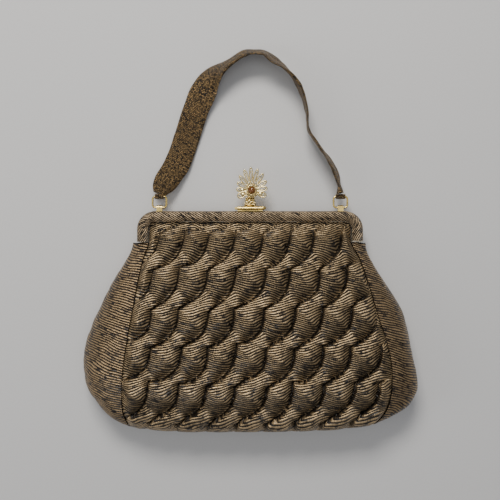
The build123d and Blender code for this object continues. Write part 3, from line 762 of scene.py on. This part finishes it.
BETWEEN = "between"  # stands for a piece that lies between the bag and the front frame; it rides on no body and its place is baked into its points


def settle(piece, body, slot, *nodes):
    """Says what a piece rides on and which CAD nodes it replaces, by hiding them; slot is not used.
    """
    if nodes:
        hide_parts(*nodes)
    if body == BETWEEN:
        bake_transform(piece)
    else:
        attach(piece, body)


settle(ruched_front(), BETWEEN, "lame_cloth",
       "front_panel", "front_panel_top", "front_panel_fold", "interlining_front")
settle(ruched_back(), "bag", "lame_cloth", "back_panel", "interlining_back")
settle(gusset(1), BETWEEN, "lame_cloth", "gusset_right")
settle(gusset(-1), BETWEEN, "lame_cloth", "gusset_left")


# ---- lining and pocket
# by height: half width of the lining, its distance from the cloth, and the level of its sides
LINING_HALF = [(25, LEG_INNER - 4.5), (18, LEG_INNER - 0.8), (6, LEG_INNER - 0.8), (-6, 77),
               (-40, 98), (-86, 112), (-106, 106), (-122, 84)]
LINING_ROOM = [(25, 1.0), (19, 2.4), (13, 5.0), (5, 8.0), (-8, 12.5), (-22, 14.0), (-36, 12.0),
               (-62, 5.5), (-135, 5.0)]
LINING_FOOT = 6.5  # the lining ends this far above the bottom edge
LINING_ROUND = 15.5  # and curves in over this height
LINING_EDGE = [(25, SLOT_Z - 1.4), (8, SLOT_Z - 1.4), (-8, MIDDLE_Z)]


def lining(name, facing):
    """Satin sack inside the cloth; facing is 1 for its front and -1 for its back."""
    rows, columns = 90, 100
    generator = np.random.default_rng(41 + facing)
    y = np.linspace(SLOT_Y - 0.6, BOTTOM + LINING_FOOT, rows)[:, None]
    u = np.linspace(-1, 1, columns)[None, :]
    half = curve_through(LINING_HALF, y)
    x = u * half
    edge = curve_through(LINING_EDGE if facing > 0 else [(25, 10.2), (-8, MIDDLE_Z)], y)
    room = curve_through(LINING_ROOM, y)
    if facing > 0:
        level = curve_through(CROWN, y) - room
    else:
        level = curve_through(BACK_CROWN, y) + np.minimum(room, 4.15)
    start = BOTTOM + (LINING_FOOT + LINING_ROUND)
    k = np.sqrt(np.maximum(1 - np.clip((start - y) / LINING_ROUND, 0, 1) ** 2, 0))
    shape = (1 - np.abs(u) ** 3.4) ** 0.5 * k
    z = edge + (level - edge) * shape
    folds = smooth_noise(rows, columns, 3, 22, generator) * 0.5
    folds = folds + smooth_noise(rows, columns, 12, 12, generator) * 0.35
    calm = np.clip((SLOT_Y - y) / 20, 0, 1) * np.clip((1 - np.abs(u)) / 0.1, 0, 1)
    z = z - facing * np.abs(folds) * calm * k
    points = np.stack([x, np.broadcast_to(y, x.shape), z], axis=2)
    return make_sheet(name, points, SATIN, points[:, :, :2] / UV_UNIT, flip=facing > 0)


def patch_pocket():
    """Flat satin patch sewn to the back lining, with a hemmed mouth."""
    low, high = box_mm("inner_pocket")
    rows, columns = 40, 50
    u = np.linspace(0, 1, columns)[None, :]
    v = np.linspace(0, 1, rows)[:, None]
    x = low[0] + (high[0] - low[0]) * u
    y = high[1] - (high[1] - low[1]) * v
    sewn = np.clip(np.minimum(np.minimum(u, 1 - u) / 0.05, (1 - v) / 0.06), 0, 1)
    generator = np.random.default_rng(5)
    puff = 0.45 + 0.5 * sewn + 0.15 * smooth_noise(rows, columns, 4, 5, generator) * sewn
    hem = 0.25 * ((v < 0.09) & (v > 0.0))
    z = low[2] + puff + hem
    points = np.stack([np.broadcast_to(x, z.shape), np.broadcast_to(y, z.shape), z], axis=2)
    return make_sheet("pocket_cloth", points, SATIN, points[:, :, :2] / UV_UNIT)


# ---- bars and tubes
class Gathered:
    """Collects several simple shapes into the points and faces of one piece."""

    def __init__(self):
        self.points = []
        self.faces = []

    def add(self, points, faces):
        start = len(self.points)
        self.points.extend(np.asarray(points, float).tolist())
        self.faces.extend([tuple(start + i for i in face) for face in faces])

    def tube(self, path, radius, sides=8, closed=False):
        """Round bar along a path; radius may change along it."""
        path = np.asarray(path, float)
        count = len(path)
        radius = np.broadcast_to(radius, count)
        if closed:
            tangent = np.roll(path, -1, axis=0) - np.roll(path, 1, axis=0)
        else:
            tangent = np.gradient(path, axis=0)
        tangent /= np.maximum(np.linalg.norm(tangent, axis=1, keepdims=True), 1e-9)
        up = np.array([0, 0, 1.0]) - tangent * tangent[:, 2:3]
        flat = np.linalg.norm(up, axis=1, keepdims=True)
        up = np.where(flat > 0.1, up / np.maximum(flat, 1e-9), np.array([0, 1.0, 0]))
        side = np.cross(tangent, up)
        turn = full_turn(sides)
        ring = (
            side[:, None, :] * np.cos(turn)[None, :, None]
            + up[:, None, :] * np.sin(turn)[None, :, None]
        )
        points = path[:, None, :] + ring * radius[:, None, None]
        faces = []
        for i in range(count if closed else count - 1):
            j = (i + 1) % count
            for k in range(sides):
                m = (k + 1) % sides
                faces.append((i * sides + k, j * sides + k, j * sides + m, i * sides + m))
        if not closed:
            faces += [face[::-1] for face in end_caps(count, sides)]
        self.add(points.reshape(-1, 3), faces)

    def turned(self, centre, profile, sides=24, squeeze=(1.0, 1.0)):
        """Solid of revolution about Z; profile is a list of radius and height."""
        points = [(centre[0] + radius * squeeze[0] * math.cos(angle),
                   centre[1] + radius * squeeze[1] * math.sin(angle), centre[2] + height)
                  for radius, height in profile for angle in full_turn(sides)]
        count = len(profile)
        self.add(points, grid_faces(count, sides, wrap=True) + end_caps(count, sides))

    def piece(self, name, material, smooth=True):
        return make_piece(name, self.points, self.faces, material, smooth=smooth)


# ---- frame covers
FRAME_CORNER = 13.0
LEG_FOOT = COVER_LOW[1]
# across the cover: inset from the outer line, and height as a share of the channel's depth
COVER_PROFILE = [(0.0, 0.0), (-0.12, 0.35), (0.12, 0.72), (0.9, 1.0), (2.2, 1.14), (3.9, 1.20),
                 (5.5, 1.14), (6.9, 1.0), (7.72, 0.84), (7.80, 0.72)]
RIB_SLANT = math.radians(34)


def frame_cover(name, z_seam, z_face):
    """Cloth rolled over one frame channel, from the closing line round to the slot."""
    path, outward = [], []
    corner_x, corner_y = FRAME_HALF - FRAME_CORNER, FRAME_TOP - FRAME_CORNER

    def straight(a, b, count, way):
        for t in np.linspace(0, 1, count, endpoint=False):
            path.append((a[0] + (b[0] - a[0]) * t, a[1] + (b[1] - a[1]) * t))
            outward.append(way)

    def round_corner(centre, start, end):
        for t in np.linspace(start, end, 22, endpoint=False):
            way = (math.cos(t), math.sin(t))
            path.append((centre[0] + FRAME_CORNER * way[0], centre[1] + FRAME_CORNER * way[1]))
            outward.append(way)

    straight((-FRAME_HALF, LEG_FOOT), (-FRAME_HALF, corner_y), 14, (-1, 0))
    round_corner((-corner_x, corner_y), math.pi, math.pi / 2)
    straight((-corner_x, FRAME_TOP), (corner_x, FRAME_TOP), 150, (0, 1))
    round_corner((corner_x, corner_y), math.pi / 2, 0)
    straight((FRAME_HALF, corner_y), (FRAME_HALF, LEG_FOOT), 14, (1, 0))
    path, outward = np.array(path), np.array(outward)
    share = np.linspace(0, 1, 30)
    stations = np.linspace(0, 1, len(COVER_PROFILE))
    inset, rise = (curve_through(list(zip(stations, side)), share) for side in zip(*COVER_PROFILE))
    inset = np.broadcast_to(inset, (len(path), len(share)))
    generator = np.random.default_rng(3)
    soft = 1 + 0.03 * smooth_noise(len(path), len(share), 40, 3, generator) * np.clip(rise, 0, 1)
    z = z_seam + (z_face - z_seam) * rise[None, :] * soft
    x = path[:, :1] - outward[:, :1] * inset
    y = path[:, 1:] - outward[:, 1:] * inset
    points = np.stack([x, y, z], axis=2)
    along = run(path)[:, None]
    across = run(points[60])[None, :]
    slant_u = along * math.cos(RIB_SLANT) + across * math.sin(RIB_SLANT)
    slant_v = -along * math.sin(RIB_SLANT) + across * math.cos(RIB_SLANT)
    uv = np.stack([slant_u, slant_v], axis=2) / UV_UNIT
    return make_sheet(name, points, COVER_LAME, uv, flip=z_face < z_seam)


# ---- handle strap
# middle of the strap from the left ring to the right one: x, y, z, turn of the width
# out of the bag's plane in degrees, and width
STRAP_LINE = [
    (-66.0, 41.4, 10.0, 2, 9.5), (-64.6, 45.0, 8.6, 2, 14), (-62.0, 50.0, 6.4, 2, 17.5),
    (-58.0, 56.5, 4.6, 4, 18.5), (-54.0, 63.5, 3.6, 4, 19), (-46.5, 84.0, 3.0, 0, 19),
    (-39.5, 105.0, 3.2, 2, 19), (-34.0, 117.0, 4.6, 8, 19.5), (-28.0, 126.5, 6.8, 30, 19.5),
    (-19.0, 134.5, 9.0, 60, 19), (-3.0, 143.5, 10.4, 66, 18.5), (9.0, 144.0, 10.8, 68, 18.5),
    (18.0, 138.5, 10.8, 62, 18.5), (27.0, 131.0, 10.9, 74, 18.5), (37.0, 117.0, 11.0, 86, 18.5),
    (41.5, 102.0, 11.0, 88, 18.5), (43.0, 88.0, 11.0, 86, 18.5), (50.5, 76.5, 11.0, 80, 18.5),
    (58.0, 65.5, 11.0, 72, 18.5), (63.0, 54.0, 10.8, 72, 16.5), (65.2, 47.0, 10.7, 82, 12.5),
    (66.0, 41.4, 10.6, 90, 9.0),
]
STRAP_GAP = 0.15  # the strap stays this far above the floor


def handle_strap():
    """Soft sleeve with pressed edges, twisted along its line between the two rings."""
    stations = np.array(STRAP_LINE)
    length = run(stations[:, :3])
    rows, columns = 420, 40
    at = np.linspace(0, length[-1], rows)
    *line, turn, width = (curve_through(list(zip(length, values)), at) for values in stations.T)
    middle = np.stack(line, axis=1)
    turn = np.radians(turn)
    tangent = np.gradient(middle, axis=0)
    tangent /= np.linalg.norm(tangent, axis=1, keepdims=True)
    sideways = np.cross(tangent, [0, 0, 1.0])
    sideways /= np.linalg.norm(sideways, axis=1, keepdims=True)
    raised = np.cross(sideways, tangent)
    across = sideways * np.cos(turn)[:, None] + raised * np.sin(turn)[:, None]
    face = np.cross(across, tangent)
    generator = np.random.default_rng(17)
    around = full_turn(columns)
    flat = np.sign(np.cos(around)) * np.abs(np.cos(around)) ** 0.75
    thick = np.sign(np.sin(around)) * np.abs(np.sin(around)) ** 0.9
    swell = 1.35 + 0.35 * smooth_noise(rows, 1, 12, 1, generator)[:, :1]
    gathered = np.clip((13 - width) / 4, 0, 1)[:, None]
    sag = 1.0 * smooth_noise(rows, columns, 18, 3, generator)
    drag = 0.35 * smooth_noise(rows, columns, 80, 8, generator)
    # a pressed fold wanders along the sleeve
    fold_at = 0.15 + 0.30 * smooth_noise(rows, 1, 5, 1, generator)[:, :1]
    fold = np.exp(-(((flat[None, :] - fold_at) / 0.10) ** 2)) * 0.7
    pleats = 0.5 * np.cos(5 * around)[None, :] * gathered
    depth = thick[None, :] * (swell + 0.9 * gathered - fold) + sag + drag + pleats
    wave = 0.35 * smooth_noise(rows, 1, 40, 1, generator)[:, :1]
    half = width[:, None] / 2 + wave
    points = (
        middle[:, None, :]
        + across[:, None, :] * (flat[None, :] * half)[:, :, None]
        + face[:, None, :] * depth[:, :, None]
    )
    points[:, :, 2] = np.maximum(points[:, :, 2], STRAP_GAP)
    u = np.broadcast_to((np.abs(flat) * 9.5 + 20 * (thick > 0))[None, :], depth.shape)
    v = np.broadcast_to(at[:, None], depth.shape)
    uv = np.stack([0.8 * u + 0.6 * v, 0.8 * v - 0.6 * u], axis=2) / UV_UNIT
    return make_sheet("strap_cloth", points, STRAP_LAME, uv, wrap=True)


def strap_loops():
    """Cloth folded round each ring's top bar."""
    loops = Gathered()
    for low, high in ((RING_LEFT_LOW, RING_LEFT_HIGH), (RING_RIGHT_LOW, RING_RIGHT_HIGH)):
        bar_y = high[1] - (high[2] - low[2]) / 2
        bar_z = (low[2] + high[2]) / 2
        middle = (low[0] + high[0]) / 2
        reach = np.linspace(-3.4, 3.4, 26)
        path = np.stack([middle + reach, np.full(26, bar_y), np.full(26, bar_z)], axis=1)
        loops.tube(path, 1.85 + 0.16 * np.sin(reach * 4.2), 18)
    points = np.array(loops.points)
    uv = np.stack([points[:, 0] + points[:, 2], points[:, 1] + 0.4 * points[:, 2]], axis=1) / UV_UNIT
    return make_piece("strap_loops", points, loops.faces, STRAP_LAME, uv)


# ---- clasp ornament
# petals: direction in degrees, distance of the tip, half width, as on the CAD's flower
PETALS = [(-20, 11.0, 2.3), (8, 11.2, 1.9), (32, 12.6, 1.7), (55, 14.4, 1.5), (74, 15.8, 1.4),
          (92, 16.4, 1.4), (110, 15.6, 1.4), (130, 13.6, 1.5), (152, 11.6, 1.7), (176, 10.8, 1.9),
          (204, 11.0, 2.4)]
FLOWER = (STONE_LOW + STONE_HIGH) / 2
STONE_R = (STONE_HIGH[0] - STONE_LOW[0]) / 2
PETAL_Z = PETALS_LOW[2]
PETAL_ROOT = 3.2
LEAVES = (0, 9, 10)  # petals that carry a solid leaf
SPIRES = (55, 130)  # petals between these directions end in a fine tip


def flower_point(direction, out, sideways, z):
    a = math.radians(direction)
    return (FLOWER[0] + out * math.cos(a) - sideways * math.sin(a),
            FLOWER[1] + out * math.sin(a) + sideways * math.cos(a), z)


def filigree():
    """Wire petals with a vein and a bead each, round a fluted disc."""
    work = Gathered()
    work.turned((FLOWER[0], FLOWER[1], PETAL_Z), [(4.6, 0.0), (5.1, 0.3), (4.9, 0.9), (3.4, 1.2)], 44)
    for k in range(26):
        work.turned(flower_point(k * 360 / 26, 4.75, 0, PETAL_Z + 0.8),
                    [(0.2, -0.1), (0.42, 0.15), (0.36, 0.45), (0.12, 0.58)], 8)
    for index, (direction, reach, half) in enumerate(PETALS):
        turn = full_turn(30)
        out = (PETAL_ROOT + reach) / 2 + (reach - PETAL_ROOT) / 2 * np.cos(turn)
        side = half * np.sin(turn) * (0.75 + 0.25 * np.cos(turn))
        z = PETAL_Z + 0.7 + 0.5 * np.cos(turn / 2) ** 2
        loop = [flower_point(direction, o, s, h) for o, s, h in zip(out, side, z)]
        work.tube(loop, 0.46, 8, closed=True)
        vein = [
            flower_point(direction, PETAL_ROOT + (reach - PETAL_ROOT) * t, 0.35 * math.sin(9 * t),
                         PETAL_Z + 0.6)
            for t in np.linspace(0, 1, 14)
        ]
        work.tube(vein, 0.26, 6)
        if index in LEAVES:
            leaf = flower_point(direction, 0.62 * reach, 0, PETAL_Z + 0.2)
            work.turned(leaf, [(2.2, 0.0), (2.1, 0.5), (1.5, 1.0), (0.4, 1.25)], 20, (1.0, 0.72))
        if SPIRES[0] <= direction <= SPIRES[1]:
            tip = [flower_point(direction, reach + out, 0, PETAL_Z + 0.9) for out in (-1, 0.1, 1.2)]
            work.tube(tip, [0.4, 0.3, 0.1], 8)
    return work.piece("petal_filigree", PALE_GOLD)


def brilliants():
    """Collets and cut stones: one near each petal's tip and a close row above the amber."""
    cups, stones = Gathered(), Gathered()
    seats = [(d, reach - 1.9, 1.0) for d, reach, _ in PETALS]
    seats += [(d, 6.1, 0.85) for d in (38, 62, 86, 110, 134)]
    for direction, out, radius in seats:
        place = flower_point(direction, out, 0, PETAL_Z + 1.2)
        cups.turned(place, [(0.7 * radius, -0.8), (1.12 * radius, 0.0), (1.16 * radius, 0.32),
                            (0.98 * radius, 0.34), (0.8 * radius, 0.1)], 14)
        stones.turned(place, [(0.2 * radius, -0.2), (0.97 * radius, 0.25), (0.94 * radius, 0.38),
                              (0.72 * radius, 0.72), (0.5 * radius, 0.84)], 8)
    return cups.piece("collets", PALE_GOLD), stones.piece("cut_stones", CLEAR, smooth=False)


def claw_setting():
    """Twisted wire round the amber stone and eight claws bent over its edge."""
    work = Gathered()
    base = STONE_LOW[2]
    turn = full_turn(120)
    for phase in (0, math.pi):
        radius = STONE_R + 0.62 + 0.22 * np.cos(22 * turn + phase)
        z = base + 0.55 + 0.22 * np.sin(22 * turn + phase)
        rope_x = FLOWER[0] + radius * np.cos(turn)
        rope_y = FLOWER[1] + radius * np.sin(turn)
        rope = np.stack([rope_x, rope_y, z], axis=1)
        work.tube(rope, 0.26, 6, closed=True)
    for k in range(8):
        claw = [flower_point(45 * k + 12, STONE_R + out, 0, base + z)
                for out, z in ((0.55, 0.2), (0.5, 1.4), (0.25, 2.2), (-0.35, 2.65))]
        work.tube(claw, [0.42, 0.38, 0.34, 0.2], 8)
    return work.piece("claw_setting", PALE_GOLD)


def amber():
    """Domed amber stone with a faceted girdle."""
    stone = Gathered()
    rise = STONE_HIGH[2] - STONE_LOW[2]
    profile = [(STONE_R * 0.9, 0.0), (STONE_R, 0.5)]
    for t in np.linspace(0.1, 1.0, 14):
        a = t * math.pi / 2
        profile.append((STONE_R * max(math.cos(a), 0.02), 0.5 + (rise - 0.5) * math.sin(a)))
    stone.turned((FLOWER[0], FLOWER[1], STONE_LOW[2]), profile, 40)
    return stone.piece("amber_cabochon", AMBER)


def basket():
    """Woven neck between the lever and the flower: wavy bars, two scrolls and a core."""
    work = Gathered()
    low, high = STEM_LOW, STEM_HIGH
    middle = (low[0] + high[0]) / 2
    top_z = high[2]
    work.add(
        [(middle + sx * w, y, z) for z in (low[2] + 0.2, top_z - 0.9)
         for y, w in ((low[1], 4.1), (high[1], 3.0)) for sx in (-1, 1)],
        [(0, 2, 3, 1), (4, 5, 7, 6), (0, 1, 5, 4), (2, 6, 7, 3), (0, 4, 6, 2), (1, 3, 7, 5)],
    )
    for row, y in enumerate(np.linspace(low[1] + 0.5, high[1] - 0.5, 6)):
        half = 4.5 - 0.24 * row
        t = np.linspace(-1, 1, 26)
        bar = np.stack([middle + half * t, y + 0.12 * np.sin(9 * t),
                        top_z - 0.55 + 0.28 * np.cos(8 * math.pi / 2 * t + row * math.pi)], axis=1)
        work.tube(bar, 0.46 if row in (0, 5) else 0.40, 8)
    for side in (-1, 1):
        turn = full_turn(24)
        ring = np.stack([middle + side * 1.8 + 1.35 * np.cos(turn), (low[1] + high[1]) / 2 - 0.6
                         + 1.15 * np.sin(turn), np.full(24, top_z - 0.1)], axis=1)
        work.tube(ring, 0.38, 8, closed=True)
    return work.piece("woven_neck", PALE_GOLD)


def lever_bulb():
    """Rounded thumb end on the right of the lever bar."""
    work = Gathered()
    middle_y = (LEVER_LOW[1] + 0.7 + LEVER_HIGH[1]) / 2
    t = np.linspace(-1, 1, 20)
    path = np.stack([LEVER_HIGH[0] - 1.9 + 2.5 * t, np.full(20, middle_y),
                     np.full(20, LEVER_HIGH[2] - 2.4)], axis=1)
    work.tube(path, 1.15 * np.sqrt(np.maximum(1 - t * t, 0.02)) + 0.1, 16)
    return work.piece("lever_bulb", GOLD)


settle(lining("lining_cloth_front", 1), BETWEEN, "satin", "lining_front")
settle(lining("lining_cloth_back", -1), "bag", "satin", "lining_back")
settle(patch_pocket(), "bag", "satin", "inner_pocket")
settle(frame_cover("cover_cloth_front", COVER_LOW[2], COVER_HIGH[2]), "front_frame",
       "ribbed_cover", "frame_front_cover")
settle(frame_cover("cover_cloth_back", BACK_COVER_HIGH[2], BACK_COVER_LOW[2]), "bag",
       "ribbed_cover", "frame_back_cover")
settle(handle_strap(), "handle", "lame_cloth", "handle_strap", "handle_core")
settle(strap_loops(), "handle", "lame_cloth")
settle(filigree(), "clasp_lever", "pale_gold", "ornament_petals")
collets, stones = brilliants()
settle(collets, "clasp_lever", "pale_gold")
settle(stones, "clasp_lever", "clear_glass", "rhinestones")
settle(claw_setting(), "clasp_lever", "pale_gold", "stone_claws")
settle(amber(), "clasp_lever", "amber_glass", "amber_stone")
settle(basket(), "clasp_lever", "pale_gold", "ornament_stem")
settle(lever_bulb(), "clasp_lever", "gold_plate")


# ---- CAD nodes that stay
CARRIED = [
    (GOLD, ["handle_lugs", "clasp_catch", "clasp_base", "clasp_lever", "ring_left", "ring_right"]),
    (STEEL, ["frame_back", "frame_front", "hinge_rivets", "clasp_rivets", "clasp_pin",
             "clasp_spring"]),
    (COTTON, ["frame_back_cord", "frame_front_cord"]),
]
for material, nodes in CARRIED:
    for node in nodes:
        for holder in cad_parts[node].material_slots:
            holder.material = material


# ---- stage and camera
def stage():
    """Plain pale floor, soft studio light and a camera straight above the purse."""
    n = Nodes("pale_floor")
    grain = n.noise(n.place(), 700.0, 3.0)
    n.paint(grain, (0.66, 0.655, 0.645, 1), (0.72, 0.715, 0.705, 1))
    n.set(Roughness=0.9)
    half = 1500
    corners = [(-half, -half, 0), (half, -half, 0), (half, half, 0), (-half, half, 0)]
    make_piece("floor", corners, [(0, 1, 2, 3)], n.material, smooth=False)

    def area(name, place, size, power, colour):
        light = bpy.data.lights.new(name, "AREA")
        light.shape = "RECTANGLE"
        light.size, light.size_y = size
        light.energy = power
        light.color = colour
        holder = stand(name, light)
        holder.location = place
        holder.rotation_euler = (-Vector(place)).to_track_quat("-Z", "Y").to_euler()

    area("key", (-0.15, 0.75, 0.85), (0.5, 0.35), 10.5, (1.0, 0.97, 0.93))
    area("overhead", (0.1, -0.1, 1.3), (0.9, 0.9), 2.6, (0.97, 0.98, 1.0))
    area("side", (-0.9, -0.2, 0.5), (0.4, 0.6), 1.6, (1.0, 0.98, 0.95))
    world = bpy.data.worlds.new("studio")
    world.use_nodes = True
    world.node_tree.nodes["Background"].inputs["Color"].default_value = (0.92, 0.94, 1.0, 1)
    world.node_tree.nodes["Background"].inputs["Strength"].default_value = 0.24
    bpy.context.scene.world = world

    camera = bpy.data.cameras.new("camera")
    camera.sensor_width = 36.0
    camera.lens = 50.0
    eye = stand("camera", camera)
    seen_width = 0.358
    eye.location = (0, 0, 0.020 + seen_width * camera.lens / camera.sensor_width)
    bpy.context.scene.camera = eye


stage()
